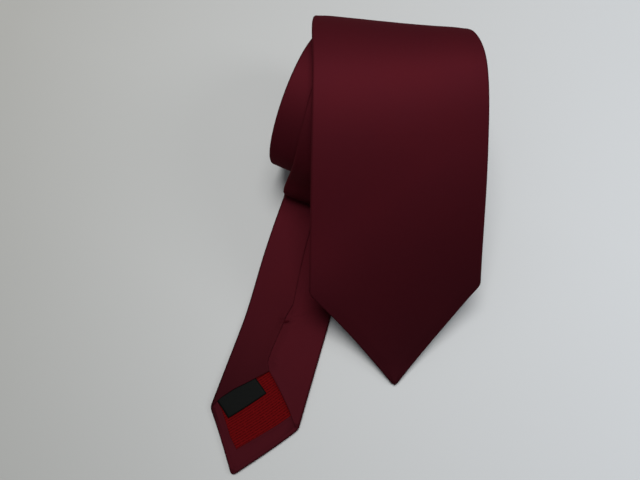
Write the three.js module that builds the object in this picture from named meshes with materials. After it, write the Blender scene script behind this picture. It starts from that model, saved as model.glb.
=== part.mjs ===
// A rolled necktie: satin shell folded round an interlining, lying on a table with its wide blade lapped
// over the roll and its narrow tail fanned out beside it. Millimetres, +Z up, X along the roll's axis.
// The whole tie is one ribbon: every piece is drawn flat as (s, u, n) - s along the tie from the blade's tip,
// u across it, n out of its face - and carried onto the ribbon's route in space.
import * as THREE from "three";

// ---- Driving dimensions ----
const TIE_LENGTH = 1442;
const TIE_THICKNESS = 3;
const SHELL_WALL = 0.45;
const EDGE_WALL = 0.6;
const CLEARANCE = 0.3;

// Half widths of the tie, and how far each place is from its end
const BLADE_HALF = 42.5;
const BLADE_CORNER = 52;
const NECK_HALF = 17.2;
const NECK_START = 740;
const NECK_END = 950;
const TAIL_SHOULDER_HALF = 20;
const TAIL_SHOULDER = 125;
const TAIL_HALF = 22;
const TAIL_CORNER = 26.4;
const POINT_HALF = 1.3;

// The roll. Its outer turn is a piece of its own, which ends OUTER_TURN_END from the blade's tip.
const COIL_RADIUS = 42.8;
const COIL_TURNS = 2.83;
const COIL_PITCH = 8.4;
const COIL_SAG = 1.8;
const COIL_FLATTEN = 1;
const LAYER_STEP = TIE_THICKNESS + 0.35;
const OUTER_TURN_END = 425;
const FOLD_RADIUS = 5;
const COIL_STEP = 1 / 30;

// The blade's lap over the front of the roll
const LAP_TURN = THREE.MathUtils.degToRad(23);
const LAP_OFFSET = 17.4;
const LAP_RISE = 2.5;
const LAP_WRAP_TURNS = 140 / 360;
const LAP_REACH = 134;
const LAP_CREST_PULL = 45;
const LAP_TIP_PULL = { reach: 82, height: 16.5 };
const LAP_STEPS = 16;

// The tail down the front of the roll and out along the table
const TAIL_OFFSET = 0.3;
const TAIL_TURN = THREE.MathUtils.degToRad(4);
const FOOT_RADIUS = 4.5;
const TAIL_LIFT_FROM_TIP = 68;

// The reverse of each end: where the two flaps part, and the hems along the point
const BLADE_BACK = { part: 97, flapEnd: 60, flapHalf: 36, hemTop: 53, hemHalf: 29, hemEnd: 23 };
const TAIL_BACK = { part: 51, flapEnd: 31.3, flapHalf: 17.6, hemTop: 27.4, hemHalf: 13.5, hemEnd: 10.9 };
const SEAM_GAP_HALF = 0.6;

// Small pieces
const KEEPER = { from: 139, width: 10, half: 24, foot: 4, thick: 0.8, slack: 0.7 };
const BAR_TACK = { length: 6, width: 1.4, thick: 0.4 };
const BLADE_TACK_FROM_TIP = 102;
const TAIL_TACK_FROM_TIP = 74;
const THREAD_HALF = 0.25;
const CARE_LABEL = { length: 20.3, depth: 10, thick: 0.3, foot: [-16.4, 31.9], turn: 0.862 };

const TAU = 2 * Math.PI;
const HALF_THICK = TIE_THICKNESS / 2;
const INNER = HALF_THICK - SHELL_WALL;
const TAIL_LIFT = TIE_LENGTH - TAIL_LIFT_FROM_TIP;
const X_AXIS = new THREE.Vector3(1, 0, 0);
const Z_AXIS = new THREE.Vector3(0, 0, 1);

const { smoothstep, lerp } = THREE.MathUtils;

// ---- The ribbon's route ----

// A point of the spiral, in the plane across the roll. The layers press flat where they rest on each other.
function coilPoint(turn, inward, sink, layer) {
  const radius = COIL_RADIUS - COIL_PITCH * turn - inward;
  const axisHeight = COIL_RADIUS - COIL_PITCH / 2 + COIL_SAG / 2 + HALF_THICK - COIL_FLATTEN;
  const z = axisHeight - COIL_SAG * turn - sink + radius * Math.cos(turn * TAU);
  return new THREE.Vector3(0, radius * Math.sin(turn * TAU), Math.max(z, HALF_THICK + layer * LAYER_STEP));
}

// The blade's strand turns from the lap's direction to the roll's as it goes over the crest.
function bladeStation(turn) {
  const blend = smoothstep(turn, 0, LAP_WRAP_TURNS);
  const onRoll = coilPoint(turn, 0, 0, 2 * Math.floor(turn));
  onRoll.z += LAP_RISE * (1 - blend);
  const onLap = onRoll.clone().setX(LAP_OFFSET).applyAxisAngle(Z_AXIS, LAP_TURN);
  const acrossLap = X_AXIS.clone().applyAxisAngle(Z_AXIS, LAP_TURN);
  return { at: onLap.lerp(onRoll, blend), across: acrossLap.lerp(X_AXIS, blend) };
}

// The tail's strand lies half a pitch inside the blade's, and swings further in where the neck folds over.
function tailStation(turn) {
  const fold = smoothstep(turn, COIL_TURNS - 0.25, COIL_TURNS);
  const inward = lerp(COIL_PITCH / 2, 2 * FOLD_RADIUS, fold);
  const sink = (COIL_SAG / 2) * (1 - fold);
  const at = coilPoint(turn, inward, sink, 2 * Math.floor(turn) + 1);
  return { at: at.setX(TAIL_OFFSET), across: X_AXIS.clone() };
}

function lapStations() {
  const crest = coilPoint(0, 0, 0, 0).z + LAP_RISE;
  const curve = new THREE.CubicBezierCurve3(
    new THREE.Vector3(LAP_OFFSET, -LAP_REACH, HALF_THICK),
    new THREE.Vector3(LAP_OFFSET, -LAP_TIP_PULL.reach, LAP_TIP_PULL.height),
    new THREE.Vector3(LAP_OFFSET, -LAP_CREST_PULL, crest),
    new THREE.Vector3(LAP_OFFSET, 0, crest),
  );
  const across = X_AXIS.clone().applyAxisAngle(Z_AXIS, LAP_TURN);
  return curve.getPoints(LAP_STEPS).map((p) => ({ at: p.applyAxisAngle(Z_AXIS, LAP_TURN), across }));
}

// The neck is folded back on itself inside the eye of the roll.
function foldStations() {
  const steps = 6;
  const angle = COIL_TURNS * TAU;
  const outward = new THREE.Vector3(0, Math.sin(angle), Math.cos(angle));
  const onward = new THREE.Vector3(0, Math.cos(angle), -Math.sin(angle));
  const start = bladeStation(COIL_TURNS).at;
  const stations = [];
  for (let i = 1; i < steps; i++) {
    const swing = (Math.PI * i) / steps;
    const at = start.clone().setX(TAIL_OFFSET * (i / steps));
    at.addScaledVector(outward, FOLD_RADIUS * (Math.cos(swing) - 1));
    at.addScaledVector(onward, FOLD_RADIUS * Math.sin(swing));
    stations.push({ at, across: X_AXIS.clone() });
  }
  return stations;
}

// From the front of the roll the tail drops to the table, bends, and runs out flat.
function footStations() {
  const top = tailStation(-0.25).at;
  const bendTop = FOOT_RADIUS + HALF_THICK;
  const stations = [];
  const dropSteps = 3;
  for (let i = 1; i <= dropSteps; i++) {
    stations.push({ at: top.clone().setZ(lerp(top.z, bendTop, i / dropSteps)), across: X_AXIS.clone() });
  }
  const bendSteps = 5;
  for (let i = 1; i <= bendSteps; i++) {
    const bend = ((Math.PI / 2) * i) / bendSteps;
    const at = top.clone().setZ(bendTop - FOOT_RADIUS * Math.sin(bend));
    at.y -= FOOT_RADIUS * (1 - Math.cos(bend));
    stations.push({ at, across: X_AXIS.clone() });
  }
  return stations;
}

function measured(stations) {
  let s = 0;
  stations.forEach((station, i) => {
    if (i > 0) s += station.at.distanceTo(stations[i - 1].at);
    station.s = s;
  });
  return stations;
}

function tieRoute() {
  const stations = lapStations();
  for (let turn = COIL_STEP; turn < COIL_TURNS - COIL_STEP / 4; turn += COIL_STEP) {
    stations.push(bladeStation(turn));
  }
  stations.push(bladeStation(COIL_TURNS), ...foldStations(), tailStation(COIL_TURNS));
  const lastStep = Math.ceil(COIL_TURNS / COIL_STEP) - 1;
  for (let i = lastStep; i * COIL_STEP > -0.25; i--) {
    stations.push(tailStation(i * COIL_STEP));
  }
  stations.push(tailStation(-0.25), ...footStations());
  measured(stations);
  const foot = stations.at(-1);
  const outward = new THREE.Vector3(0, -1, 0).applyAxisAngle(Z_AXIS, TAIL_TURN);
  const across = X_AXIS.clone().applyAxisAngle(Z_AXIS, TAIL_TURN);
  for (const from of [FOOT_RADIUS, TIE_LENGTH - foot.s]) {
    stations.push({ at: foot.at.clone().addScaledVector(outward, from), across });
  }
  return measured(stations);
}

const ROUTE = tieRoute();
ROUTE.forEach((station, i) => {
  const ahead = ROUTE[Math.min(i + 1, ROUTE.length - 1)].at;
  const behind = ROUTE[Math.max(i - 1, 0)].at;
  station.out = station.across.clone().cross(ahead.clone().sub(behind)).normalize();
});
const CREST = ROUTE[LAP_STEPS].s;
const FOOT = ROUTE.at(-2).s;

function stationAt(s) {
  const next = Math.max(1, ROUTE.findIndex((station) => station.s >= s - 1e-6));
  const [a, b] = [ROUTE[next - 1], ROUTE[next]];
  const t = (s - a.s) / (b.s - a.s);
  return {
    s,
    at: a.at.clone().lerp(b.at, t),
    across: a.across.clone().lerp(b.across, t),
    out: a.out.clone().lerp(b.out, t).normalize(),
  };
}

function place(station, u, n) {
  return station.at.clone().addScaledVector(station.across, u).addScaledVector(station.out, n);
}

// ---- Widths, measured along the tie ----

function along(s, knots) {
  const next = knots.findIndex(([at]) => at >= s);
  if (next <= 0) return next === 0 ? knots[0][1] : knots.at(-1)[1];
  const [[s0, v0], [s1, v1]] = [knots[next - 1], knots[next]];
  return lerp(v0, v1, (s - s0) / (s1 - s0));
}

const WIDTH_KNOTS = [
  [0, POINT_HALF],
  [BLADE_CORNER, BLADE_HALF],
  [NECK_START, NECK_HALF],
  [NECK_END, NECK_HALF],
  [TIE_LENGTH - TAIL_SHOULDER, TAIL_SHOULDER_HALF],
  [TIE_LENGTH - TAIL_CORNER, TAIL_HALF],
  [TIE_LENGTH, POINT_HALF],
];

// How far the reverse stands open either side of the centre seam, from an end's point inwards.
function openingKnots(back) {
  return [
    [0, CLEARANCE],
    [back.hemEnd, SEAM_GAP_HALF],
    [back.hemTop, back.hemHalf],
    [back.flapEnd, back.flapHalf],
    [back.part, SEAM_GAP_HALF],
  ];
}
const BLADE_OPENING = openingKnots(BLADE_BACK);
const TAIL_OPENING = openingKnots(TAIL_BACK).map(([s, half]) => [TIE_LENGTH - s, half]).reverse();
const OPENING_KNOTS = [...BLADE_OPENING, ...TAIL_OPENING];

const halfWidth = (s) => along(s, WIDTH_KNOTS);
const innerHalf = (s) => halfWidth(s) - EDGE_WALL;
const openingHalf = (s) => Math.min(along(s, OPENING_KNOTS), innerHalf(s) - CLEARANCE);

// ---- Sections across the tie, as (u, n) outlines ----

function shellSection(s) {
  const [outer, inner, gap] = [halfWidth(s), innerHalf(s), openingHalf(s)];
  return [
    [gap, -HALF_THICK], [outer, -HALF_THICK], [outer, HALF_THICK], [-outer, HALF_THICK],
    [-outer, -HALF_THICK], [-gap, -HALF_THICK], [-gap, -INNER], [-inner, -INNER],
    [-inner, INNER], [inner, INNER], [inner, -INNER], [gap, -INNER],
  ];
}

function slab(half, low, high) {
  return [[half, low], [half, high], [-half, high], [-half, low]];
}

const interliningSection = (s) => slab(Math.max(innerHalf(s) - CLEARANCE, 0.2), -0.05, INNER - CLEARANCE);
const tippingSection = (s) => slab(innerHalf(s) - CLEARANCE, CLEARANCE - INNER, -0.35);
const threadSection = () => slab(THREAD_HALF, -HALF_THICK + 0.05, -INNER + 0.05);

// A flat band whose two ends are turned in against the reverse of the tie.
function keeperSection() {
  const foot = -HALF_THICK - CLEARANCE;
  const [inside, outside] = [foot - KEEPER.slack, foot - KEEPER.slack - KEEPER.thick];
  const [end, inner] = [KEEPER.half, KEEPER.half - KEEPER.foot];
  return [
    [end, outside], [end, foot], [inner, foot], [inner, inside],
    [-inner, inside], [-inner, foot], [-end, foot], [-end, outside],
  ];
}

// ---- Solids ----

// Lofts a section along the tie from one place to another, and closes both ends.
function loft(section, from, to) {
  const bends = ROUTE.map((station) => station.s);
  const knots = [...WIDTH_KNOTS, ...OPENING_KNOTS].map(([s]) => s);
  const places = [from, to, ...[...bends, ...knots].filter((s) => s > from + 0.4 && s < to - 0.4)];
  const stops = places.sort((a, b) => a - b).filter((s, i, all) => i === 0 || s - all[i - 1] > 0.35);
  const rings = stops.map((s) => section(s).map(([u, n]) => place(stationAt(s), u, n)));
  const outline = section(stops[0]).map(([u, n]) => new THREE.Vector2(u, n));
  const size = outline.length;
  const index = [];
  for (let ring = 0; ring < rings.length - 1; ring++) {
    for (let i = 0; i < size; i++) {
      const next = (i + 1) % size;
      const [a, b] = [ring * size + i, ring * size + next];
      // The two skins of a wall share one diagonal, so that they can't cross where the tie twists.
      if (outline[next].x > outline[i].x) index.push(a, a + size, b, b, a + size, b + size);
      else index.push(a, a + size, b + size, a, b + size, b);
    }
  }
  const lastRing = (rings.length - 1) * size;
  for (const [a, b, c] of THREE.ShapeUtils.triangulateShape(outline, [])) {
    index.push(a, b, c, lastRing + a, lastRing + c, lastRing + b);
  }
  return new THREE.BufferGeometry().setFromPoints(rings.flat()).setIndex(index);
}

// A small block lying on the reverse of the tie, long way across it.
function barTack(s) {
  const near = -HALF_THICK - CLEARANCE;
  const section = () => slab(BAR_TACK.length / 2, near - BAR_TACK.thick, near);
  return loft(section, s - BAR_TACK.width / 2, s + BAR_TACK.width / 2);
}

// The care label hangs from the tail's left flap, along that flap's slanting edge.
function careLabel() {
  const outline = new THREE.Shape();
  outline.moveTo(0, 0).lineTo(CARE_LABEL.length, 0);
  outline.lineTo(CARE_LABEL.length, -CARE_LABEL.depth).lineTo(0, -CARE_LABEL.depth).closePath();
  const label = new THREE.ExtrudeGeometry(outline, { depth: CARE_LABEL.thick, bevelEnabled: false });
  const [u, fromTip] = CARE_LABEL.foot;
  const corner = place(stationAt(TIE_LENGTH - fromTip), u, -HALF_THICK);
  label.rotateZ(CARE_LABEL.turn + TAIL_TURN);
  return label.translate(corner.x, corner.y, corner.z - CARE_LABEL.thick);
}

// ---- Materials ----

function cloth(color, roughness) {
  return new THREE.MeshStandardMaterial({ color, roughness, metalness: 0 });
}
const SATIN = cloth(0x4c1a23, 0.45);
const TIPPING = cloth(0x8a1420, 0.6);
const LABEL = cloth(0x15161a, 0.5);
const INTERLINING = cloth(0xd8d0bf, 0.95);
const THREAD = cloth(0x3a1219, 0.7);

// ---- Assembly ----

const tie = new THREE.Group();
function add(name, geometry, material) {
  const mesh = new THREE.Mesh(geometry, material);
  mesh.name = name;
  tie.add(mesh);
}

const half = CLEARANCE / 2;
const afterLap = CREST + half;
const beforeFoot = FOOT - half;
const afterFoot = FOOT + half;
const beforeLift = TAIL_LIFT - half;
const afterLift = TAIL_LIFT + half;

add("blade_shell_lap", loft(shellSection, 0, CREST - half), SATIN);
add("blade_shell_outer_turn", loft(shellSection, afterLap, OUTER_TURN_END - half), SATIN);
add("blade_shell_inner_turns", loft(shellSection, OUTER_TURN_END + half, NECK_START - half), SATIN);
add("neck_gusset", loft(shellSection, NECK_START + half, NECK_END - half), SATIN);
add("tail_shell_rolled", loft(shellSection, NECK_END + half, beforeFoot), SATIN);
add("tail_shell_laid", loft(shellSection, afterFoot, beforeLift), SATIN);
add("tail_shell_end", loft(shellSection, afterLift, TIE_LENGTH), SATIN);

const POINT_INSET = 4;
add("interlining_lap", loft(interliningSection, POINT_INSET, CREST - half), INTERLINING);
add("interlining_rolled", loft(interliningSection, afterLap, beforeFoot), INTERLINING);
add("interlining_laid", loft(interliningSection, afterFoot, beforeLift), INTERLINING);
add("interlining_end", loft(interliningSection, afterLift, TIE_LENGTH - POINT_INSET), INTERLINING);

const TUCK = 10;
const tailTippingStart = TIE_LENGTH - TAIL_BACK.part - TUCK;
add("blade_tipping", loft(tippingSection, POINT_INSET, BLADE_BACK.part + TUCK), TIPPING);
add("tail_tipping", loft(tippingSection, tailTippingStart, TIE_LENGTH - POINT_INSET), TIPPING);

const seamEnd = TIE_LENGTH - TAIL_BACK.part;
add("slip_stitch_lap", loft(threadSection, BLADE_BACK.part + 1, CREST - half), THREAD);
add("slip_stitch_rolled", loft(threadSection, afterLap, beforeFoot), THREAD);
add("slip_stitch_laid", loft(threadSection, afterFoot, beforeLift), THREAD);
add("slip_stitch_end", loft(threadSection, afterLift, seamEnd - 1), THREAD);

add("blade_bar_tack", barTack(BLADE_TACK_FROM_TIP), THREAD);
add("tail_bar_tack", barTack(TIE_LENGTH - TAIL_TACK_FROM_TIP), THREAD);
add("keeper_loop", loft(keeperSection, KEEPER.from, KEEPER.from + KEEPER.width), SATIN);
add("care_label", careLabel(), LABEL);

export default tie;
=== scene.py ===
"""A rolled burgundy necktie on a pale table. Row frame: +Z up, X along the roll's axis.

The whole tie is one ribbon. Every piece is drawn flat as (s, u, n) - s along the tie from the blade's tip,
u across it, n out of its face - and carried onto the ribbon's route. Lengths are in millimetres, as on a
cutting table, until a mesh is made in metres.
"""
import bpy
import numpy as np
from math import ceil, cos, pi, radians, sin, tau
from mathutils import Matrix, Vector


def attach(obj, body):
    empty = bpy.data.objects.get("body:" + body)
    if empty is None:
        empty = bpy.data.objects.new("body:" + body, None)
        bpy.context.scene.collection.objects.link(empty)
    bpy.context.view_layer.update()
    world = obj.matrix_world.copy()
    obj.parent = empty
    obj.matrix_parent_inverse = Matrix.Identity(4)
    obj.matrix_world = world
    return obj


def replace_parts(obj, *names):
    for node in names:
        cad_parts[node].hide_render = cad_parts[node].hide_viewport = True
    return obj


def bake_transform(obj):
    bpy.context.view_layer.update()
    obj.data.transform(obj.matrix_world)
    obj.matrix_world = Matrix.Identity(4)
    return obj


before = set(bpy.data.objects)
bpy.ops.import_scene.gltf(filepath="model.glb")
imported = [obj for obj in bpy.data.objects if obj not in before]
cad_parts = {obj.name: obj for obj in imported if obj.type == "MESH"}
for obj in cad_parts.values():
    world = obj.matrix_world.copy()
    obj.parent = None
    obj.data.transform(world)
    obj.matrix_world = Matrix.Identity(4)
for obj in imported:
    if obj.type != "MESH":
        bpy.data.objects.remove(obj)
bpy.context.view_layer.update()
MM = 0.001

# ---- Driving dimensions, as in the CAD ----
TIE_LENGTH = 1442
HALF_THICK = 1.5
WIDTHS = [(0, 0.9), (52, 42.5), (740, 17.2), (950, 17.2), (1317, 20), (1413.8, 23), (TIE_LENGTH, 0.9)]
NECK_SEAMS = (740, 950)

COIL_RADIUS, COIL_TURNS, COIL_PITCH, COIL_STEP = 42.8, 2.83, 8.4, 1 / 30
COIL_SAG, COIL_FLATTEN, LAYER_STEP, FOLD_RADIUS = 1.8, 1.0, 3.35, 5.0

LAP_TURN = radians(23)
LAP_OFFSET, LAP_RISE, LAP_REACH, LAP_CREST_PULL = 17.4, 2.5, 134, 45
LAP_TIP_PULL = (82, 16.5)
LAP_WRAP_TURNS = 140 / 360
LAP_STEPS = 16

TAIL_OFFSET, TAIL_TURN, FOOT_RADIUS = 0.3, radians(4), 4.5

# ---- Cloth ----
FINE_STEP = 0.5          # spacing of the route's table
ROUTE_EASE = 1.6         # how far bends are eased along the tie
SATIN_WALL = 0.38
FOLD_HALF = 1.15         # half thickness at the folded long edges
PLUMP, HEM_PLUMP = 0.4, 0.04     # how much thicker the middle is than the edges: flaps and face, and hems
PLUMP_REACH = 8.0
POINT_ROUND = 0.9        # the radius of the two points
CORNER_ROUND = 1.6       # how far each way the corners are eased along the tie
FLAPS_RISE = (0.6, 2.0)  # past the corner, where the reverse goes from hems to flaps
FLAPS_MEET = (-1.5, 2.5) # about the part, where the flaps close into the seam
TAIL_FLAP_RIDE = 0.55    # how much higher the tail's flaps lie over the hems and the label
RIDE_ENDS = (48, 72)     # from the tail's tip, where the flaps come down again
SEAM_DIP = 0.8           # how far the right flap goes in under the left one at the seam
DIP_ENDS = (1.0, 3.2)    # from the seam, where it comes up again
SEAM_FLOOR = 0.72        # the right flap lies no deeper than this
FLAP_CURL, SEAM_CURL, CURL_REACH = 0.22, 0.28, 3.5    # how the flaps' free edges and the seam stand up
MITRE_DIP = 0.04         # how far the right hem lies under the left one where they meet
FLAP_SAMPLES, FOLD_SAMPLES, FACE_SAMPLES = 15, 7, 33
ROW_STEP, ROW_GAP, ROW_MARGIN = 2.4, 0.28, 0.2    # between rows along the tie: usual, least, and by a cut
RIM_SHARE = 0.45         # how much of its thickness a thin piece keeps at its rim
THREAD_SIDES = 6
CUT_LEAD = 0.3           # past each cut, where one more ring gives the normals and is dropped

# The reverse of each end, as (distance from the point, u): first the hem's inner edge, then the flap's free
# edge, then the centre seam. The corner is where each hem goes under its flap, and the part is where the two
# flaps meet.
TAIL_LEFT = [(0, 0.4), (11.2, -2.1), (16.6, -7.9), (24.1, -13.6), (28.2, -16.8), (28.8, -22.4),
             (35.2, -18.8), (40.7, -14.2), (52.7, -0.4), (57.9, -2.6), (64, -2.6), (76, -1.4), (83, -0.8),
             (89, 1), (102, 0.6), (140, 0)]
TAIL_RIGHT = [(0, -0.4), (11.2, -3.1), (22.3, 7), (28.2, 12.5), (28.8, 21.4), (30.3, 20.1), (36.1, 15.3),
              (50.2, 2.3), (52.7, -0.1), (61, -8.5)]
BLADE_LEFT = [(0, 0.4), (23, 0.1), (52, -28), (52.6, -40), (60, -36), (97, 0), (130, 0)]
BLADE_RIGHT = [(0, -0.4), (23, -0.1), (52, 28), (52.6, 40), (60, 36), (97, 0.3), (107, -8.5)]
TAIL_CORNER, BLADE_CORNER = 28.2, 52
TAIL_PART, BLADE_PART = 52.7, 97

# Where the ribbon is cut into pieces, each near no joint or at one joint only
CREST = 160.51
FOOT = 1304.77
LAP_CUT = CREST + 34
FOOT_CUT = FOOT - 24
LIFT_CUT = 1365.5
TAIL_LIFT = TIE_LENGTH - 68


def fade(x, low, high):
    """Eases from 0 at low to 1 at high."""
    t = np.clip((x - low) / (high - low), 0, 1)
    return t * t * (3 - 2 * t)


def bump(x, centre, half):
    """A smooth hump, 1 at the centre."""
    return np.exp(-(((x - centre) / half) ** 2))


def knots(x, table):
    """The value at x, straight from row to row of a table of (x, value)."""
    return np.interp(x, [k[0] for k in table], [k[1] for k in table])


def turned(v, angle):
    """v turned about Z."""
    c, s = cos(angle), sin(angle)
    return np.array([c * v[0] - s * v[1], s * v[0] + c * v[1], v[2]])


# ---- The ribbon's route ----

X_AXIS = np.array([1.0, 0, 0])


def coil_point(turn, inward, sink, layer):
    radius = COIL_RADIUS - COIL_PITCH * turn - inward
    axis_height = COIL_RADIUS - COIL_PITCH / 2 + COIL_SAG / 2 + HALF_THICK - COIL_FLATTEN
    z = axis_height - COIL_SAG * turn - sink + radius * cos(turn * tau)
    return np.array([0, radius * sin(turn * tau), max(z, HALF_THICK + layer * LAYER_STEP)])


def blade_station(turn):
    """The blade's strand turns from the lap's direction to the roll's as it goes over the crest."""
    blend = fade(turn, 0, LAP_WRAP_TURNS)
    on_roll = coil_point(turn, 0, 0, 2 * int(turn))
    on_roll[2] += LAP_RISE * (1 - blend)
    on_lap = turned([LAP_OFFSET, on_roll[1], on_roll[2]], LAP_TURN)
    return on_lap + (on_roll - on_lap) * blend, turned(X_AXIS, LAP_TURN) * (1 - blend) + X_AXIS * blend


def tail_station(turn):
    """The tail's strand lies half a pitch inside the blade's, and further in where the neck folds over."""
    fold = fade(turn, COIL_TURNS - 0.25, COIL_TURNS)
    inward = COIL_PITCH / 2 * (1 - fold) + 2 * FOLD_RADIUS * fold
    at = coil_point(turn, inward, COIL_SAG / 2 * (1 - fold), 2 * int(np.floor(turn)) + 1)
    return at + X_AXIS * TAIL_OFFSET, X_AXIS


def lap_stations():
    crest = coil_point(0, 0, 0, 0)[2] + LAP_RISE
    tip_pull, crest_pull = (-LAP_TIP_PULL[0], LAP_TIP_PULL[1]), (-LAP_CREST_PULL, crest)
    pulls = [(-LAP_REACH, HALF_THICK), tip_pull, crest_pull, (0, crest)]
    stations = []
    for t in np.linspace(0, 1, LAP_STEPS + 1):
        weights = [(1 - t) ** 3, 3 * (1 - t) ** 2 * t, 3 * (1 - t) * t * t, t ** 3]
        y, z = (sum(w * p[k] for w, p in zip(weights, pulls)) for k in (0, 1))
        stations.append((turned([LAP_OFFSET, y, z], LAP_TURN), turned(X_AXIS, LAP_TURN)))
    return stations


def fold_stations():
    """The neck is folded back on itself inside the eye of the roll."""
    steps = 6
    angle = COIL_TURNS * tau
    outward = np.array([0, sin(angle), cos(angle)])
    onward = np.array([0, cos(angle), -sin(angle)])
    start = blade_station(COIL_TURNS)[0]
    stations = []
    for i in range(1, steps):
        swing = pi * i / steps
        at = start + FOLD_RADIUS * ((cos(swing) - 1) * outward + sin(swing) * onward)
        at[0] = TAIL_OFFSET * i / steps
        stations.append((at, X_AXIS))
    return stations


def foot_stations():
    """From the front of the roll the tail drops to the table and bends forward."""
    top = tail_station(-0.25)[0]
    bend_top = FOOT_RADIUS + HALF_THICK
    drops = [top[2] + (bend_top - top[2]) * i / 3 for i in (1, 2, 3)]
    stations = [(np.array([top[0], top[1], z]), X_AXIS) for z in drops]
    for i in range(1, 6):
        bend = pi / 2 * i / 5
        y = top[1] - FOOT_RADIUS * (1 - cos(bend))
        stations.append((np.array([top[0], y, bend_top - FOOT_RADIUS * sin(bend)]), X_AXIS))
    return stations


def tie_stations():
    stations = lap_stations()
    stations += [blade_station(turn) for turn in np.arange(COIL_STEP, COIL_TURNS - COIL_STEP / 4, COIL_STEP)]
    stations += [blade_station(COIL_TURNS), *fold_stations(), tail_station(COIL_TURNS)]
    last_step = ceil(COIL_TURNS / COIL_STEP) - 1
    stations += [tail_station(i * COIL_STEP) for i in range(last_step, -8, -1)]
    stations += [tail_station(-0.25), *foot_stations()]
    at = np.array([station[0] for station in stations])
    so_far = np.linalg.norm(np.diff(at, axis=0), axis=1).sum()
    outward, across = turned([0, -1, 0], TAIL_TURN), turned(X_AXIS, TAIL_TURN)
    for step in (FOOT_RADIUS, TIE_LENGTH - so_far):
        stations.append((at[-1] + outward * step, across))
    return stations


def through(s, values, fine):
    """A smooth line through the stations, at each place of fine."""
    slope = np.gradient(values, s, axis=0)
    k = np.clip(np.searchsorted(s, fine, side="right") - 1, 0, len(s) - 2)
    span = (s[k + 1] - s[k])[:, None]
    t = (fine - s[k])[:, None] / span
    start = values[k] * (1 + 2 * t) * (1 - t) ** 2 + slope[k] * span * t * (1 - t) ** 2
    return start + values[k + 1] * t * t * (3 - 2 * t) + slope[k + 1] * span * t * t * (t - 1)


def eased(values, reach):
    """Each column smoothed over about reach millimetres, with its two ends kept."""
    count = int(3 * reach / FINE_STEP)
    weights = np.exp(-0.5 * (np.arange(-count, count + 1) * FINE_STEP / reach) ** 2)
    padded = np.pad(values, ((count, count), (0, 0)), mode="reflect", reflect_type="odd")
    return np.stack([np.convolve(c, weights / weights.sum(), mode="valid") for c in padded.T], -1)


def tie_route():
    """Place, across and out along the tie, in a table with a row every FINE_STEP."""
    stations = tie_stations()
    at = np.array([station[0] for station in stations])
    across = np.array([station[1] for station in stations])
    s = np.r_[0, np.cumsum(np.linalg.norm(np.diff(at, axis=0), axis=1))]
    fine = np.arange(0, TIE_LENGTH + FINE_STEP / 2, FINE_STEP)
    at = eased(through(s, at, fine), ROUTE_EASE)
    across = eased(through(s, across, fine), 3 * ROUTE_EASE)
    out = np.cross(across, np.gradient(at, axis=0))
    out /= np.linalg.norm(out, axis=1)[:, None]
    return fine, at, across, out


ROUTE_S, ROUTE_AT, ROUTE_ACROSS, ROUTE_OUT = tie_route()


def looked_up(table, s):
    return np.stack([np.interp(s, ROUTE_S, column) for column in table.T], -1)


def place(s, u, n):
    """The point in space, in millimetres, of each (s, u, n)."""
    s, u, n = np.broadcast_arrays(s, u, n)
    n, u = n + drape(s, u), u + lean(s)
    point = looked_up(ROUTE_AT, s) + looked_up(ROUTE_ACROSS, s) * u[..., None]
    point = point + looked_up(ROUTE_OUT, s) * n[..., None]
    point[..., 2] = np.maximum(point[..., 2], TABLE_GAP)
    return point


# ---- How the cloth lies ----

TABLE_GAP = 0.02         # no point of the tie is lower than this over the table
TAIL_POINT_LEAN = 1.5    # how far the tail's point is pulled to the left
SLANT_OVER, SLANT_BACK, SLANT_HOME = 2.6, 6.2, 3.6    # right on the roll, left to the foot, then home
LEFT_CORNER_LIFT, CROWN_DROP, RIGHT_DROP = 2.6, 0.9, 2.4
LONG_WAVE, SHORT_WAVE = 0.28, 0.2
FOOT_SLACK = 3.0         # how far the satin stands out from the roll just above the foot
PUCKER_AT, PUCKER_LEFT, PUCKER_RISE = 79.9, 1.7, 0.45
RIDGE_BELOW, RIDGE_ABOVE, CREASE_DEPTH = 0.34, 0.25, 0.5


def lean(s):
    """How far the tail wanders across its route.

    It comes off the roll at a slant, and its point is pulled over to the left."""
    from_foot, from_tip = s - FOOT, TIE_LENGTH - s
    at_foot = SLANT_OVER * fade(from_foot, -115, -65) - SLANT_BACK * fade(from_foot, -62, -12)
    at_foot = at_foot + SLANT_HOME * fade(from_foot, 4, 62)
    return at_foot - TAIL_POINT_LEAN * (1 - np.clip(from_tip / TAIL_CORNER, 0, 1))


def half_width(s):
    """Half the tie's width. The corners are a little round, and so is each point."""
    from_end = np.minimum(s, TIE_LENGTH - s)
    ease = CORNER_ROUND * fade(from_end, 0, 10)
    width = np.mean([knots(s + shift * ease, WIDTHS) for shift in np.linspace(-1, 1, 9)], axis=0)
    from_round = 1 - np.minimum(from_end, POINT_ROUND) / POINT_ROUND
    return width * np.sqrt(np.clip(1 - from_round ** 2, 0.02, 1))


def drape(s, u):
    """How far the cloth stands off its route.

    The blade's left corner is raised and its right side drops. Long soft waves run along the rolled part,
    and the tail is slack above its foot."""
    on_blade = 1 - fade(s, 120, 165)
    corner = LEFT_CORNER_LIFT * bump(s, 50, 26) * fade(-u, 8, 44)
    crown = -CROWN_DROP * (np.abs(u) / 42) ** 2 * fade(s, 60, 110)
    right_side = -RIGHT_DROP * fade(u, 2, 44) * fade(s, 6, 50)
    waves = LONG_WAVE * np.sin(s / 23 + u / 31) + SHORT_WAVE * np.sin(s / 11.3 - u / 17 + 1.3)
    off_table = 1 - fade(s, FOOT + 5, FOOT + 20)
    slack = -FOOT_SLACK * bump(s, FOOT - 20, 10)
    return on_blade * (corner + crown + right_side) + waves * fade(s, 12, 60) * off_table + slack


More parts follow.
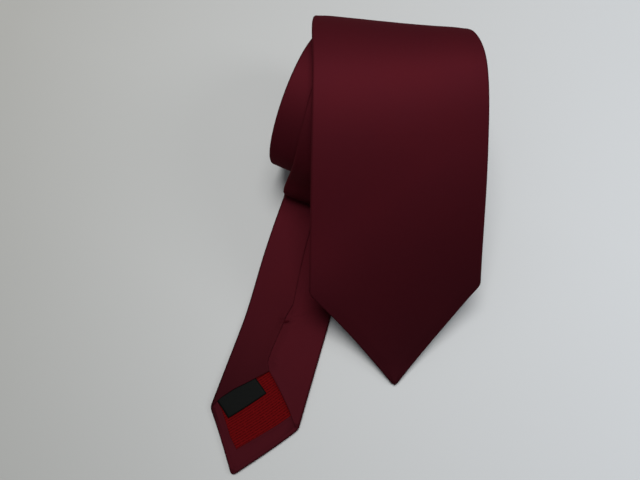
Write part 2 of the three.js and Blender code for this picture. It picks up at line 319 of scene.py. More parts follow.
def crease(from_tip, u):
    """The pucker by the tail's bar tack: a crease with a ridge on each side, fading up to the right."""
    line = from_tip - PUCKER_AT - PUCKER_RISE * np.clip(u - PUCKER_LEFT, 0, 14)
    along_line = fade(u, -5, -3) * (1 - 0.55 * fade(u, 1, 5)) * (1 - fade(u, 11, 17))
    ridges = RIDGE_BELOW * bump(line, -2.6, 1.9) + RIDGE_ABOVE * bump(line, 2.4, 2.2)
    return along_line * (ridges - CREASE_DEPTH * bump(line, 0, 1.1))


class End:
    """What the reverse looks like near each place s: which end it belongs to, and its free edges."""

    def __init__(self, s):
        tail = s > TIE_LENGTH / 2
        self.tail = tail
        self.from_tip = np.where(tail, TIE_LENGTH - s, s)
        self.left = np.where(tail, knots(self.from_tip, TAIL_LEFT), knots(self.from_tip, BLADE_LEFT))
        self.right = np.where(tail, knots(self.from_tip, TAIL_RIGHT), knots(self.from_tip, BLADE_RIGHT))
        limit = np.maximum(half_width(s) - FOLD_HALF, 0)
        self.left, self.right = np.clip(self.left, -limit, limit), np.clip(self.right, -limit, limit)
        corner = np.where(tail, TAIL_CORNER, BLADE_CORNER)
        part = np.where(tail, TAIL_PART, BLADE_PART)
        self.flaps = fade(self.from_tip, corner + FLAPS_RISE[0], corner + FLAPS_RISE[1])
        self.closed = fade(self.from_tip, part + FLAPS_MEET[0], part + FLAPS_MEET[1])
        self.ride = TAIL_FLAP_RIDE * tail * self.flaps * (1 - fade(self.from_tip, *RIDE_ENDS))


def shell_section(s):
    """The satin's path round the tie: from the right flap's free edge, round the face, to the left flap's.

    Returns u, n and the place across the flat cloth, one row for each s."""
    s = s[:, None]
    end, half = End(s), half_width(s)
    fold = np.minimum(FOLD_HALF, 0.42 * half)
    side = half - fold
    flap = np.linspace(0, 1, FLAP_SAMPLES)
    swing = np.linspace(-pi / 2, pi / 2, FOLD_SAMPLES)
    face = np.linspace(1, -1, FACE_SAMPLES)[1:-1]
    deep = fold + end.ride
    middle, reach = (fold - deep) / 2, (fold + deep) / 2
    right_u, left_u = end.right + (side - end.right) * flap, -side + (end.left + side) * flap
    dip = SEAM_DIP * end.closed * (1 - fade(right_u - end.left, *DIP_ENDS)) + MITRE_DIP * (1 - end.flaps)
    opened = FLAP_CURL * (1 - end.closed) * end.flaps
    right_curl = opened * (1 - fade(right_u - end.right, 0, CURL_REACH))
    left_curl = (opened + SEAM_CURL * end.closed) * (1 - fade(end.left - left_u, 0, CURL_REACH))
    u = [right_u, side + fold * np.cos(swing[1:]), side * face, -side - fold * np.cos(swing[:-1]), left_u]
    right_n = reverse_level(right_u, half, end, deep) + dip - right_curl
    n = [np.minimum(right_n, -np.minimum(SEAM_FLOOR, deep)),
         middle + reach * np.sin(swing[1:]),
         fold + PLUMP * plump(side * face, half),
         middle - reach * np.sin(swing[:-1]),
         reverse_level(left_u, half, end, deep) - left_curl]
    rows = len(s)
    u, n = (np.concatenate([np.broadcast_to(a, (rows, a.shape[1])) for a in x], axis=1) for x in (u, n))
    v = np.concatenate([np.zeros((rows, 1)), np.cumsum(np.hypot(np.diff(u), np.diff(n)), axis=1)], axis=1)
    return u, n, v - v[:, [v.shape[1] // 2]]


def plump(u, half):
    """0 at the folded edges, and 1 in the middle of the tie."""
    return fade(half - np.abs(u), FOLD_HALF, np.minimum(PLUMP_REACH, 0.8 * half))


def reverse_level(u, half, end, deep):
    """n of the flaps and hems on the reverse: plump where they are flaps, flat where they are hems."""
    level = -deep - (HEM_PLUMP + (PLUMP - HEM_PLUMP) * end.flaps) * plump(u, half)
    return level - end.tail * end.closed * crease(end.from_tip, u)


def stops(start, end):
    """Places along the tie, close together near the two points and where an edge turns."""
    edges = [TIE_LENGTH - d for d, _ in TAIL_LEFT + TAIL_RIGHT] + [d for d, _ in BLADE_LEFT + BLADE_RIGHT]
    near_tips = np.r_[0:3:0.3, 3:64:1.3, TIE_LENGTH - np.r_[0:3:0.3, 3:108:1.1]]
    near_foot = np.arange(FOOT - 14, FOOT + 6, 0.9)
    inner = np.sort(np.r_[np.arange(start, end, ROW_STEP), near_tips, near_foot, edges])
    inner = inner[(inner > start + ROW_MARGIN) & (inner < end - ROW_MARGIN)]
    spaced = [start]
    for s in inner:
        if s - spaced[-1] > ROW_GAP:
            spaced.append(s)
    return np.array([*spaced, end])


# ---- Meshes ----

def new_mesh(name, points, faces, uvs, normals=None):
    """An object from points in millimetres, with a place on the flat cloth in millimetres for each point."""
    mesh = bpy.data.meshes.new(name)
    mesh.from_pydata((points * MM).tolist(), [], [list(face) for face in faces])
    layer = mesh.uv_layers.new(name="cloth")
    corners = np.empty(len(mesh.loops), np.int32)
    mesh.loops.foreach_get("vertex_index", corners)
    layer.data.foreach_set("uv", (uvs[corners] * MM).astype(np.float32).ravel())
    mesh.polygons.foreach_set("use_smooth", [True] * len(mesh.polygons))
    if normals is not None:
        mesh.normals_split_custom_set_from_vertices(normals.tolist())
    mesh.validate()
    obj = bpy.data.objects.new(name, mesh)
    bpy.context.scene.collection.objects.link(obj)
    return obj


def ring_faces(rings, size):
    """Quads between rings of points, facing out where each ring turns from u to n."""
    i, j = np.meshgrid(np.arange(rings - 1), np.arange(size), indexing="ij")
    a, b = i * size + j, i * size + (j + 1) % size
    return np.stack([a, a + size, b + size, b], -1).reshape(-1, 4)


def ring_normals(points):
    """Normals of a lofted grid, from its neighbours along and round it."""
    along, round_it = np.gradient(points, axis=0), np.roll(points, -1, 1) - np.roll(points, 1, 1)
    normal = np.cross(along, round_it)
    return normal / np.maximum(np.linalg.norm(normal, axis=-1, keepdims=True), 1e-12)


def shell(name, start, end):
    """A stretch of the tie's satin: an open tube of real cloth thickness, closed only by its own edges."""
    before = [start - CUT_LEAD] if start > 0 else []
    after = [end + CUT_LEAD] if end < TIE_LENGTH else []
    s = np.r_[before, stops(start, end), after]
    u, n, v = shell_section(s)
    du, dn = np.gradient(u, axis=1), np.gradient(n, axis=1)
    length = np.maximum(np.hypot(du, dn), 1e-9)
    wall = np.minimum(SATIN_WALL, 0.3 * half_width(s))[:, None]
    inner_u, inner_n = u - wall * dn / length, n + wall * du / length
    ring_u, ring_n = (np.concatenate([a, b[:, ::-1]], axis=1) for a, b in ((u, inner_u), (n, inner_n)))
    ring_v = np.concatenate([v, v[:, ::-1]], axis=1)
    points = place(s[:, None], ring_u, ring_n)
    normals = ring_normals(points)
    keep = slice(len(before), len(s) - len(after))
    points, normals, ring_v, s = points[keep], normals[keep], ring_v[keep], s[keep]
    rings, size = points.shape[:2]
    path = size // 2
    caps = [(j, j + 1, size - 2 - j, size - 1 - j) for j in range(path - 1)]
    last = (rings - 1) * size
    faces = [*ring_faces(rings, size), *caps, *[tuple(last + k for k in cap[::-1]) for cap in caps]]
    uvs = np.stack([ring_v, np.broadcast_to(s[:, None], ring_v.shape)], -1)
    return new_mesh(name, points.reshape(-1, 3), faces, uvs.reshape(-1, 2), normals.reshape(-1, 3))


def slab(name, s, u, low, high):
    """A thin closed piece on a grid of (s, u), from n low to n high, with its rim rounded off."""
    rows, columns = s.shape
    low, high = (np.array(np.broadcast_to(x, s.shape), float) for x in (low, high))
    rim = np.zeros(s.shape, bool)
    rim[[0, -1]] = rim[:, [0, -1]] = True
    middle = (low + high) / 2
    low[rim] = (middle + (low - middle) * RIM_SHARE)[rim]
    high[rim] = (middle + (high - middle) * RIM_SHARE)[rim]
    points = np.concatenate([place(s, u, x).reshape(-1, 3) for x in (high, low)])
    count = rows * columns
    cell = [i * columns + j for i in range(rows - 1) for j in range(columns - 1)]
    top = [(a, a + 1, a + columns + 1, a + columns) for a in cell]
    bottom = [tuple(count + k for k in quad[::-1]) for quad in top]
    loop = [*range(columns), *range(2 * columns - 1, count, columns)]
    loop += [*range(count - 2, count - columns - 1, -1), *range(count - 2 * columns, 0, -columns)]
    walls = [(b, a, count + a, count + b) for a, b in zip(loop, loop[1:] + loop[:1])]
    uvs = np.tile(np.stack([u, s], -1).reshape(-1, 2), (2, 1))
    faces = top + bottom + walls
    if signed_volume(points, faces) < 0:
        faces = [face[::-1] for face in faces]
    return new_mesh(name, points, faces, uvs)


def signed_volume(points, faces):
    a, b, c, d = (points[[face[k] for face in faces]] for k in range(4))
    return (np.einsum("ij,ij->i", a, np.cross(b, c)) + np.einsum("ij,ij->i", a, np.cross(c, d))).sum() / 6


def grid(start, end, half, step_s=2.5, columns=17):
    """A grid of (s, u) along the tie, out to half(s) either side."""
    s = np.linspace(start, end, max(3, int((end - start) / step_s)))
    u = half(s)[:, None] * np.linspace(-1, 1, columns)
    return np.broadcast_to(s[:, None], u.shape), u


def strip(start, end, left, right, step_s, columns):
    """A grid of (s, u) between two edges, each given as a function of s."""
    s = np.linspace(start, end, max(3, int(abs(end - start) / step_s)))
    across = np.linspace(0, 1, columns)
    u = left(s)[:, None] * (1 - across) + right(s)[:, None] * across
    return np.broadcast_to(s[:, None], u.shape), u


def closed_tube(name, points, round_it, along, mirrored=False):
    """A tube through rings of points, closed at its ends. It is mirrored where the rings turn from n to u.

    round_it and along are the place on the flat cloth, round each ring and from ring to ring."""
    rings, sides = points.shape[:2]
    last, start_at, end_at = (rings - 1) * sides, rings * sides, rings * sides + 1
    faces = [tuple(quad) for quad in ring_faces(rings, sides)]
    faces += [(start_at, (j + 1) % sides, j) for j in range(sides)]
    faces += [(end_at, last + j, last + (j + 1) % sides) for j in range(sides)]
    if mirrored:
        faces = [face[::-1] for face in faces]
    points = np.concatenate([points.reshape(-1, 3), points[[0, -1]].mean(axis=1)])
    across = np.r_[np.tile(round_it, rings), 0, 0]
    along = np.r_[np.repeat(along, sides), along[[0, -1]]]
    return new_mesh(name, points, faces, np.stack([across, along], -1))


def thread(name, start, end, wander, level, radius, step):
    """A thread along the tie, whose place across it is wander(s)."""
    s = np.linspace(start, end, max(3, int((end - start) / step)))[:, None]
    angle = np.linspace(0, tau, THREAD_SIDES, endpoint=False)
    points = place(s, wander(s) + radius * np.cos(angle), level + radius * np.sin(angle))
    return closed_tube(name, points, angle * radius, s[:, 0])


def joined(name, parts):
    """One object from several."""
    with bpy.context.temp_override(active_object=parts[0], selected_editable_objects=parts, object=parts[0],
                                   selected_objects=parts):
        bpy.ops.object.join()
    parts[0].name = parts[0].data.name = name
    return parts[0]


# ---- Node materials ----

class Nodes:
    """A material's node tree, with a short way to add and link nodes."""

    def __init__(self, name):
        self.material = bpy.data.materials.new(name)
        self.material.use_nodes = True
        self.tree = self.material.node_tree
        self.shader = self.tree.nodes["Principled BSDF"]

    def add(self, kind, inputs=(), **settings):
        """A node with its settings. Each input is (socket, value); a value may be another node's socket."""
        node = self.tree.nodes.new(kind)
        for key, value in settings.items():
            setattr(node, key, value)
        for socket, value in inputs:
            self.put(node.inputs[socket], value)
        return node

    def put(self, socket, value):
        if isinstance(value, bpy.types.NodeSocket):
            self.tree.links.new(value, socket)
        else:
            socket.default_value = value

    def maths(self, operation, a, b=0.0, c=0.0):
        return self.add("ShaderNodeMath", [(0, a), (1, b), (2, c)], operation=operation).outputs[0]

    def cloth_place(self):
        """The point on the flat cloth, in millimetres: x across, y along."""
        uv = self.add("ShaderNodeUVMap", uv_map="cloth").outputs[0]
        return self.stretched(uv, (1000, 1000, 1000))

    def turned(self, vector, angle, scale=(1, 1, 1)):
        inputs = [("Vector", vector), ("Rotation", (0, 0, angle)), ("Scale", scale)]
        return self.add("ShaderNodeMapping", inputs).outputs[0]

    def noise(self, vector, scale, detail=2.0):
        inputs = [("Vector", vector), ("Scale", scale), ("Detail", detail)]
        return self.add("ShaderNodeTexNoise", inputs).outputs[0]

    def stretched(self, vector, scale):
        inputs = [(0, vector), (1, scale)]
        return self.add("ShaderNodeVectorMath", inputs, operation="MULTIPLY").outputs[0]

    def ribs(self, coordinate, pitch):
        """0 to 1 and back, once every pitch."""
        wave = self.maths("SINE", self.maths("MULTIPLY", coordinate, tau / pitch))
        return self.maths("MULTIPLY_ADD", wave, 0.5, 0.5)

    def ramp(self, value, low, high):
        """0 at low and 1 at high."""
        inputs = [("Value", value), ("From Min", low), ("From Max", high)]
        return self.add("ShaderNodeMapRange", inputs).outputs[0]

    def axes(self, vector):
        return self.add("ShaderNodeSeparateXYZ", [(0, vector)]).outputs

    def mix(self, factor, a, b):
        node = self.add("ShaderNodeMix", data_type="RGBA")
        self.put(node.inputs["Factor"], factor)
        self.put(node.inputs["A"], a)
        self.put(node.inputs["B"], b)
        return node.outputs["Result"]

    def finish(self, colour, height, depth, strength, roughness, **uniform):
        """Colour, roughness and relief go to the shader. depth is the relief's height in millimetres."""
        inputs = [("Height", height), ("Distance", depth * MM), ("Strength", strength)]
        relief = self.add("ShaderNodeBump", inputs).outputs[0]
        self.put(self.shader.inputs["Base Color"], colour)
        self.put(self.shader.inputs["Roughness"], roughness)
        self.put(self.shader.inputs["Normal"], relief)
        for socket, value in uniform.items():
            self.shader.inputs[socket.replace("_", " ")].default_value = value
        return self.material


def rgb(red, green, blue):
    """A colour from its sRGB numbers, 0 to 255."""
    channels = [c / 255 for c in (red, green, blue)]
    return (*[c / 12.92 if c <= 0.04045 else ((c + 0.055) / 1.055) ** 2.4 for c in channels], 1)


BIAS = radians(45)       # tie satin is cut on the bias


def tail_point_painted_shade(m, cloth):
    """Painted shade: how much darker the satin is painted towards the tail's point, most of all on its left
    flap.
    """
    across, along, _ = m.axes(cloth)
    left = m.maths("MULTIPLY_ADD", m.ramp(across, 16, 24), 0.45, 0.45)
    return m.maths("MULTIPLY", left, m.ramp(along, 1300, 1405))


def blade_point_painted_shade(m, cloth):
    """1 at the blade's point, fading out past its corners: painted shade, the satin painted a little darker
    there.
    """
    across, along, _ = m.axes(cloth)
    slanted = m.maths("MULTIPLY_ADD", across, 0.7, along)
    return m.ramp(slanted, 105, 15)


def satin_material():
    """Smooth microfibre satin: fine floats at 45 degrees to the tie.

    Part metallic, because that keeps its gloss red at every angle."""
    m = Nodes("burgundy_satin")
    cloth = m.cloth_place()
    biased = m.turned(cloth, BIAS)
    warp, weft, _ = m.axes(biased)
    floats = m.noise(m.turned(cloth, BIAS, (0.35, 2.6, 1)), 1.0, 3)
    twill = m.ribs(m.maths("ADD", warp, weft), 0.62)
    broad = m.noise(cloth, 0.03, 3)
    shade = m.mix(floats, rgb(80, 26, 35), rgb(92, 30, 41))
    shade = m.mix(m.maths("MULTIPLY", broad, 0.5), shade, rgb(98, 27, 34))
    # painted shade: darker towards the tail's point, most of all on its left flap
    shade = m.mix(tail_point_painted_shade(m, cloth), shade, rgb(54, 17, 22))
    # painted shade: darker towards the blade's point
    shade = m.mix(m.maths("MULTIPLY", blade_point_painted_shade(m, cloth), 0.62), shade, rgb(44, 17, 22))
    height = m.maths("ADD", m.maths("MULTIPLY", twill, 0.35), m.maths("MULTIPLY", floats, 0.65))
    roughness = m.maths("MULTIPLY_ADD", floats, 0.1, 0.68)
    return m.finish(shade, height, 0.05, 0.3, roughness, Metallic=0.7, Specular_IOR_Level=0.1,
                    Specular_Tint=rgb(150, 60, 75))


def tipping_material():
    """Bright red lining with fine broken ribs, parallel to the label's long side."""
    m = Nodes("red_tipping")
    cloth = m.turned(m.cloth_place(), LABEL_TURN)
    _, across, _ = m.axes(cloth)
    ribs = m.ribs(across, 1.3)
    floats = m.noise(m.stretched(cloth, (0.9, 3.0, 1)), 1.0, 2)
    breaks = m.ramp(floats, 0.36, 0.58)
    dark = m.maths("MULTIPLY", ribs, breaks)
    shade = m.mix(m.maths("MULTIPLY", dark, 0.85), rgb(98, 12, 14), rgb(48, 5, 7))
    height = m.maths("SUBTRACT", 1.0, dark)
    roughness = m.maths("MULTIPLY_ADD", floats, 0.15, 0.45)
    return m.finish(shade, height, 0.18, 0.6, roughness, Specular_IOR_Level=0.12,
                    Specular_Tint=rgb(235, 40, 40))


def label_material():
    """Black woven satin, blank, with a fine rib across it."""
    m = Nodes("black_label")
    cloth = m.turned(m.cloth_place(), LABEL_TURN)
    _, across, _ = m.axes(cloth)
    floats = m.noise(m.stretched(cloth, (3.2, 0.8, 1)), 1.0, 2)
    ribs = m.ribs(across, 0.5)
    shade = m.mix(floats, rgb(5, 7, 6), rgb(13, 15, 14))
    height = m.maths("MULTIPLY", ribs, floats)
    roughness = m.maths("MULTIPLY_ADD", floats, 0.2, 0.45)
    return m.finish(shade, height, 0.06, 0.5, roughness, Specular_IOR_Level=0.05)


def interlining_material():
    """Brushed wool, cream, with an open plain weave."""
    m = Nodes("wool_interlining")
    cloth = m.turned(m.cloth_place(), BIAS)
    warp, weft, _ = m.axes(cloth)
    weave = m.maths("MULTIPLY", m.ribs(warp, 0.9), m.ribs(weft, 0.9))
    fuzz = m.noise(cloth, 2.2, 4)
    shade = m.mix(fuzz, rgb(206, 197, 176), rgb(228, 221, 204))
    return m.finish(shade, m.maths("ADD", weave, fuzz), 0.2, 0.7, m.maths("MULTIPLY_ADD", fuzz, 0.1, 0.85))


def thread_material():
    """Twisted sewing thread, in the satin's colour."""
    m = Nodes("burgundy_thread")
    cloth = m.cloth_place()
    across, along, _ = m.axes(cloth)
    twist = m.ribs(m.maths("MULTIPLY_ADD", across, 1.5, along), 0.45)
    shade = m.mix(twist, rgb(52, 10, 16), rgb(76, 18, 26))
    return m.finish(shade, twist, 0.05, 0.6, m.maths("MULTIPLY_ADD", twist, 0.1, 0.6), Metallic=0.5,
                    Specular_IOR_Level=0.0)


def floor_material():
    """A pale, faintly mottled table top, with painted light: lighter towards the right, and painted shade
    near the front left.
    """
    m = Nodes("pale_table")
    at = m.add("ShaderNodeTexCoord").outputs["Object"]
    mottle = m.noise(at, 6.0, 3)
    grain = m.noise(at, 900.0, 2)
    x, y, _ = m.axes(at)
    # painted light: the table is painted lighter towards the right
    painted_light_rightward = m.ramp(x, -0.22, 0.32)
    shade = m.mix(painted_light_rightward, rgb(189, 189, 185), rgb(238, 243, 249))
    # painted shade: the table is painted darker near the front left
    forward = m.ramp(y, 0, -0.25)
    painted_shade_leftward = m.maths("SUBTRACT", 1.0, painted_light_rightward)
    painted_shade_near_left = m.maths("MULTIPLY", forward, m.maths("MULTIPLY", painted_shade_leftward, 0.5))
    shade = m.mix(painted_shade_near_left, shade, rgb(150, 150, 144))
    shade = m.mix(m.maths("MULTIPLY", mottle, 0.15), shade, rgb(215, 216, 216))
    roughness = m.maths("MULTIPLY_ADD", mottle, 0.1, 0.5)
    return m.finish(shade, grain, 0.05, 0.1, roughness, Specular_IOR_Level=0.3)


# ---- Sizes of the small pieces ----

LABEL_TURN = 0.856              # the label's long side, from straight across the tail
LABEL_FOOT = (-20, 31.9)        # u and distance from the tip of its lower tucked corner
LABEL_HINGE = (-16.4, 31.9)     # the same for a point on the hinge
LABEL_LENGTH, LABEL_DEPTH, LABEL_TUCK = 21.8, 10.3, 2.4
LABEL_LEVEL, LABEL_THICK, LABEL_LIFT, LABEL_RIPPLE = -1.2, 0.24, 0.3, 0.05
TIPPING_LEVEL, TIPPING_THICK = -0.66, 0.26
TONGUE_LEVEL, TONGUE_THICK = -1.23, 0.3
HEM_START, HEM_REACH, HEM_SLOPE = 3.0, 10, 0.9
HEM_LIP, HEM_OVERLAP, HEM_CURL, HEM_OUTER_DIP = 1.6, 0.15, 0.22, 0.28
HEM_DIP_FROM, HEM_CURL_REACH, HEM_CURL_STARTS = 3.2, 3, (12, 18)
LINING_INSET, LINING_START, LINING_RIPPLE = 1.9, 5, 0.03
BLADE_LINING_PAST, TAIL_LINING_PAST = 10, 9    # how far each lining goes on past the part
INTERLINING_LOW, INTERLINING_HIGH, INTERLINING_PLUMP = -0.3, 0.66, 0.32
INTERLINING_INSET, INTERLINING_START = 1.8, 4
KEEPER_START, KEEPER_WIDTH, KEEPER_HALF = 139, 10, 24
KEEPER_INNER, KEEPER_OUTER = -2.5, -3.3
KEEPER_DOWN, KEEPER_TURNED = 0.75, 0.6     # its ends come down to the satin and thin out
KEEPER_CROWN = 0.25                        # its middle line stands out
TACK_LENGTH, TACK_THREADS, TACK_PITCH = 5.0, 7, 0.19
TACK_RADIUS, TACK_ARCH, TACK_SHORTER, TACK_RINGS = 0.13, 0.14, 0.06, 13
BLADE_TACK, TAIL_TACK = (102, 0, -1.62), (TIE_LENGTH - 79.4, -0.8, -1.12)    # s, u and n
STITCH_LEVEL, STITCH_RADIUS, STITCH_PITCH, STITCH_STEP = -1.06, 0.16, 9.0, 1.5
STITCH_INSET, STITCH_SWING, STITCH_FROM_PART = 1.6, 0.7, 3

SATIN = satin_material()
TIPPING = tipping_material()
LABEL = label_material()
INTERLINING = interlining_material()
THREAD = thread_material()


def dress(obj, material):
    obj.data.materials.append(material)
    return obj


def metres(point):
    return tuple(float(c) * MM for c in point)


def crossing(before, after, centre, direction, back, ahead):
    """Where a joint is crossed: (body before, body after, start, end), the places in metres."""
    centre, direction = np.array(centre, float), np.array(direction, float)
    return before, after, metres(centre - back * direction), metres(centre + ahead * direction)


LAP_DIRECTION = turned([0, -1, 0], LAP_TURN)
TAIL_DIRECTION = turned([0, -1, 0], TAIL_TURN)
LABEL_DIRECTION = turned([0, -1, 0], LABEL_TURN + TAIL_TURN)
AT_CREST = crossing("roll", "blade", looked_up(ROUTE_AT, CREST), LAP_DIRECTION, back=14, ahead=9)
AT_FOOT = crossing("roll", "tail", looked_up(ROUTE_AT, FOOT), TAIL_DIRECTION, back=0, ahead=58)
AT_LIFT = crossing("tail", "tail_end", looked_up(ROUTE_AT, TAIL_LIFT), TAIL_DIRECTION, back=5, ahead=7)


def bend(obj, at):
    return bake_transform(obj)


# The ribbon's stretches: name, start, end, and the body each is attached to, or the joint it crosses
STRETCHES = {
    "lap": (0, LAP_CUT, AT_CREST),
    "rolled": (LAP_CUT, FOOT_CUT, "roll"),
    "laid": (FOOT_CUT, LIFT_CUT, AT_FOOT),
    "end": (LIFT_CUT, TIE_LENGTH, AT_LIFT),
}


def follow(obj, how):
    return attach(obj, how) if isinstance(how, str) else bend(obj, how)


def satin_piece(name, start, end, how, nodes, with_pieces=()):
    obj = dress(shell(name, start, end), SATIN)
    follow(obj, how)
    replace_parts(obj, *nodes)
    return obj


def hem_edge(d, tail, side):
    """u of the hem's inner edge at each distance from the point, carried straight on under the flap."""
    edges = {(True, -1): TAIL_LEFT, (True, 1): TAIL_RIGHT, (False, -1): BLADE_LEFT, (False, 1): BLADE_RIGHT}
    corner = TAIL_CORNER if tail else BLADE_CORNER
    at_corner = side * knots(corner, edges[tail, side])
    inner = np.where(d < corner, side * knots(d, edges[tail, side]), at_corner + HEM_SLOPE * (d - corner))
    most = half_width(TIE_LENGTH - d if tail else d) - HEM_LIP
    return side * (np.minimum(inner, most) - HEM_OVERLAP)


def hem_tongues(prefix, tail, body):
    """The turned-up hems, each one strip from near the point to under its flap."""
    corner = TAIL_CORNER if tail else BLADE_CORNER
    made = []
    for side, name in ((-1, "_left"), (1, "_right")):
        def inner_edge(d, side=side):
            return hem_edge(d, tail, side)

        def outer_edge(d, side=side):
            half = half_width(TIE_LENGTH - d if tail else d)
            return side * np.maximum(half - FOLD_HALF, side * inner_edge(d) + 0.2)

        d, u = strip(HEM_START, corner + HEM_REACH, inner_edge, outer_edge, 0.8, 15)
        s = TIE_LENGTH - d if tail else d
        outer_dip = HEM_OUTER_DIP * fade(np.abs(u), half_width(s) - HEM_DIP_FROM, half_width(s) - FOLD_HALF)
        sunk = outer_dip + MITRE_DIP * (side > 0)
        from_inner = side * (u - inner_edge(d))
        sunk = sunk - HEM_CURL * (1 - fade(from_inner, 0, HEM_CURL_REACH)) * fade(d, *HEM_CURL_STARTS)
        tongue = slab(prefix + name, s, u, TONGUE_LEVEL + sunk, TONGUE_LEVEL + TONGUE_THICK + sunk)
        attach(dress(tongue, SATIN), body)
        made.append(tongue)
    return made


def lining_piece(name, start, end, nodes, body):
    s, u = grid(start, end, lambda s: np.maximum(half_width(s) - LINING_INSET, 0.4), 1.5, 25)
    ripple = LINING_RIPPLE * np.sin(s / 2.3) + LINING_RIPPLE * np.sin(u / 1.9)
    obj = dress(slab(name, s, u, TIPPING_LEVEL + ripple, TIPPING_LEVEL + TIPPING_THICK), TIPPING)
    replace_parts(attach(obj, body), *nodes)
    return obj


def interlining_piece(part, start, end, how):
    first, last = max(start, INTERLINING_START), min(end, TIE_LENGTH - INTERLINING_START)
    s, u = grid(first, last, lambda s: np.maximum(half_width(s) - INTERLINING_INSET, 0.3))
    high = INTERLINING_HIGH + INTERLINING_PLUMP * plump(u, half_width(s))
    obj = dress(slab("wool_interlining_" + part, s, u, INTERLINING_LOW, high), INTERLINING)
    follow(obj, how)
    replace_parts(obj, "interlining_" + part)
    return obj


def slip_stitch_piece(part, start, end, how):
    """One long thread, zigzagging between the two flaps inside the seam."""
    def wander(s):
        return End(s).left - STITCH_INSET + STITCH_SWING * np.sin(s * tau / STITCH_PITCH)

    obj = thread("slip_thread_" + part, start, end, wander, STITCH_LEVEL, STITCH_RADIUS, STITCH_STEP)
    follow(dress(obj, THREAD), how)
    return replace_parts(obj, "slip_stitch_" + part)


def tack_thread(name, s, u, span, level):
    """One thread of a bar tack, across the seam and a little arched, as a tube with pointed ends."""
    across = np.linspace(-span, span, TACK_RINGS)
    angle = np.linspace(0, tau, THREAD_SIDES + 1)[:-1]
    rise = level - TACK_ARCH * (1 - (across / span) ** 2)
    radius = TACK_RADIUS * np.sqrt(np.clip(1 - (across / span) ** 8, 0.05, 1))[:, None]
    points = place(s + radius * np.cos(angle), (u + across)[:, None] + 0 * angle,
                   rise[:, None] + radius * np.sin(angle))
    return closed_tube(name, points, angle * TACK_RADIUS, across, mirrored=True)


def bar_tack_piece(name, s, u, level, node, body):
    """A few threads side by side across the seam, every other one a little shorter."""
    parts = []
    for k in range(TACK_THREADS):
        at = s + (k - (TACK_THREADS - 1) / 2) * TACK_PITCH
        span = TACK_LENGTH / 2 * (1 - TACK_SHORTER * (k % 2))
        parts.append(tack_thread(name, at, u, span, level))
    obj = dress(joined(name, parts), THREAD)
    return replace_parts(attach(obj, body), node)


def keeper_piece():
    """A satin band across the blade's reverse, its ends turned in."""
    s = np.linspace(KEEPER_START, KEEPER_START + KEEPER_WIDTH, 9)
    u = np.linspace(-KEEPER_HALF, KEEPER_HALF, 41)
    u, s = np.meshgrid(u, s)
    high = KEEPER_INNER + KEEPER_DOWN * fade(np.abs(u), KEEPER_HALF - 5, KEEPER_HALF - 2.5)
    turned_in = KEEPER_TURNED * fade(np.abs(u), KEEPER_HALF - 2, KEEPER_HALF)
    low = KEEPER_OUTER + KEEPER_CROWN * np.abs(s - KEEPER_START - KEEPER_WIDTH / 2) / 5 + turned_in
    obj = dress(slab("keeper_band", s, u, low, high), SATIN)
    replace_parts(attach(obj, "blade"), "keeper_loop")
    return obj


def label_piece():
    """The blank care label, tucked under the tail's left flap and hinged along that flap's edge."""
    along, across = np.meshgrid(np.linspace(0, LABEL_LENGTH, 25), np.linspace(-LABEL_TUCK, LABEL_DEPTH, 19))
    u = LABEL_FOOT[0] + along * cos(LABEL_TURN) + across * sin(LABEL_TURN)
    from_tip = LABEL_FOOT[1] + along * sin(LABEL_TURN) - across * cos(LABEL_TURN)
    free = np.clip(across / LABEL_DEPTH, 0, 1)
    bow = 0.5 + 0.5 * np.sin(along / LABEL_LENGTH * pi)
    lift = -LABEL_LIFT * free ** 2 * bow - LABEL_RIPPLE * np.sin(along / 3.1) * free
    level = LABEL_LEVEL + lift
    obj = slab("blank_label", TIE_LENGTH - from_tip, u, level - LABEL_THICK, level)
    dress(obj, LABEL)
    hinge = place(TIE_LENGTH - LABEL_HINGE[1], LABEL_HINGE[0], LABEL_LEVEL)
    bend(obj, crossing("tail_end", "label", hinge, LABEL_DIRECTION, back=0.4, ahead=1.4))
    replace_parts(obj, "care_label")
    return obj


def build_tie():
    blade_tongues = hem_tongues("blade_hem", False, "blade")
    tail_tongues = hem_tongues("tail_hem", True, "tail_end")
    satin_piece("blade_lap", 0, LAP_CUT, AT_CREST, ["blade_shell_lap"], blade_tongues)
    rolled_blade = ["blade_shell_outer_turn", "blade_shell_inner_turns"]
    satin_piece("blade_turns", LAP_CUT, NECK_SEAMS[0], "roll", rolled_blade)
    satin_piece("neck_turns", *NECK_SEAMS, "roll", ["neck_gusset"])
    satin_piece("tail_turns", NECK_SEAMS[1], FOOT_CUT, "roll", ["tail_shell_rolled"])
    satin_piece("tail_foot", FOOT_CUT, LIFT_CUT, AT_FOOT, ["tail_shell_laid"])
    satin_piece("tail_point", LIFT_CUT, TIE_LENGTH, AT_LIFT, ["tail_shell_end"], tail_tongues)
    for part, (start, end, how) in STRETCHES.items():
        interlining_piece(part, start, end, how)
        first = max(start, BLADE_PART + STITCH_FROM_PART)
        last = min(end, TIE_LENGTH - TAIL_PART - STITCH_FROM_PART)
        slip_stitch_piece(part, first, last, how)
    blade_lining = LINING_START, BLADE_PART + BLADE_LINING_PAST
    tail_lining = TIE_LENGTH - TAIL_PART - TAIL_LINING_PAST, TIE_LENGTH - LINING_START
    lining_piece("blade_lining", *blade_lining, ["blade_tipping"], "blade")
    lining_piece("tail_lining", *tail_lining, ["tail_tipping"], "tail_end")
    bar_tack_piece("blade_tack", *BLADE_TACK, "blade_bar_tack", "blade")
    bar_tack_piece("tail_tack", *TAIL_TACK, "tail_bar_tack", "tail")
    keeper_piece()
    label_piece()


# ---- Table, light and camera ----

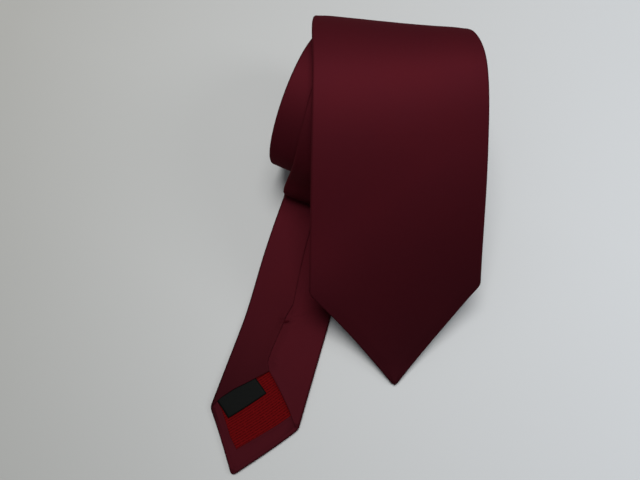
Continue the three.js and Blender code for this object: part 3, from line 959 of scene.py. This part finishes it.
FLOOR_HALF = 1.6
CAMERA_AT = (0.0383, -0.1441, 0.3308)
CAMERA_DOWN = 74.5       # degrees below the horizon
CAMERA_HEADING = 21.7    # degrees from +Y towards -X
CAMERA_LENS = 35.3
SKY_COLOUR = (0.92, 0.96, 1.0, 1)
SKY_RANGE = {"From Min": 0.25, "From Max": 1.0, "To Min": 0.01, "To Max": 0.32}    # dim at the horizon


def build_table():
    corners = np.array([(-1, -1, 0), (1, -1, 0), (1, 1, 0), (-1, 1, 0)]) * FLOOR_HALF / MM
    floor = new_mesh("table_top", corners, [(0, 1, 2, 3)], corners[:, :2])
    floor.data.materials.append(floor_material())


def area_light(name, at, aim, size, power, colour=(1, 1, 1)):
    light = bpy.data.lights.new(name, "AREA")
    light.shape = "DISK"
    light.size = size
    light.energy = power
    light.color = colour
    obj = bpy.data.objects.new(name, light)
    obj.location = at
    obj.rotation_euler = (Vector(aim) - Vector(at)).to_track_quat("-Z", "Y").to_euler()
    bpy.context.scene.collection.objects.link(obj)


def build_light():
    area_light("key", at=(-0.1, 0.13, 1.16), aim=(0.03, -0.03, 0), size=0.62, power=8.7,
               colour=(1.0, 0.99, 0.97))
    area_light("fill", at=(0.75, 0.25, 0.8), aim=(0.03, -0.05, 0), size=0.5, power=1.5,
               colour=(0.97, 0.98, 1.0))
    world = bpy.data.worlds.new("studio")
    bpy.context.scene.world = world
    world.use_nodes = True
    tree = world.node_tree
    height = tree.nodes.new("ShaderNodeSeparateXYZ")
    strength = tree.nodes.new("ShaderNodeMapRange")
    for socket, value in SKY_RANGE.items():
        strength.inputs[socket].default_value = value
    tree.links.new(tree.nodes.new("ShaderNodeTexCoord").outputs["Generated"], height.inputs[0])
    tree.links.new(height.outputs["Z"], strength.inputs["Value"])
    background = tree.nodes["Background"]
    background.inputs["Color"].default_value = SKY_COLOUR
    tree.links.new(strength.outputs[0], background.inputs["Strength"])
    bpy.context.scene.view_settings.view_transform = "Standard"


def build_camera():
    camera = bpy.data.cameras.new("camera")
    camera.lens = CAMERA_LENS
    camera.sensor_width = 36
    camera.clip_start = 0.01
    obj = bpy.data.objects.new("camera", camera)
    obj.location = CAMERA_AT
    obj.rotation_euler = (radians(90 - CAMERA_DOWN), 0, radians(CAMERA_HEADING))
    bpy.context.scene.collection.objects.link(obj)
    bpy.context.scene.camera = obj


build_tie()
build_table()
build_light()
build_camera()
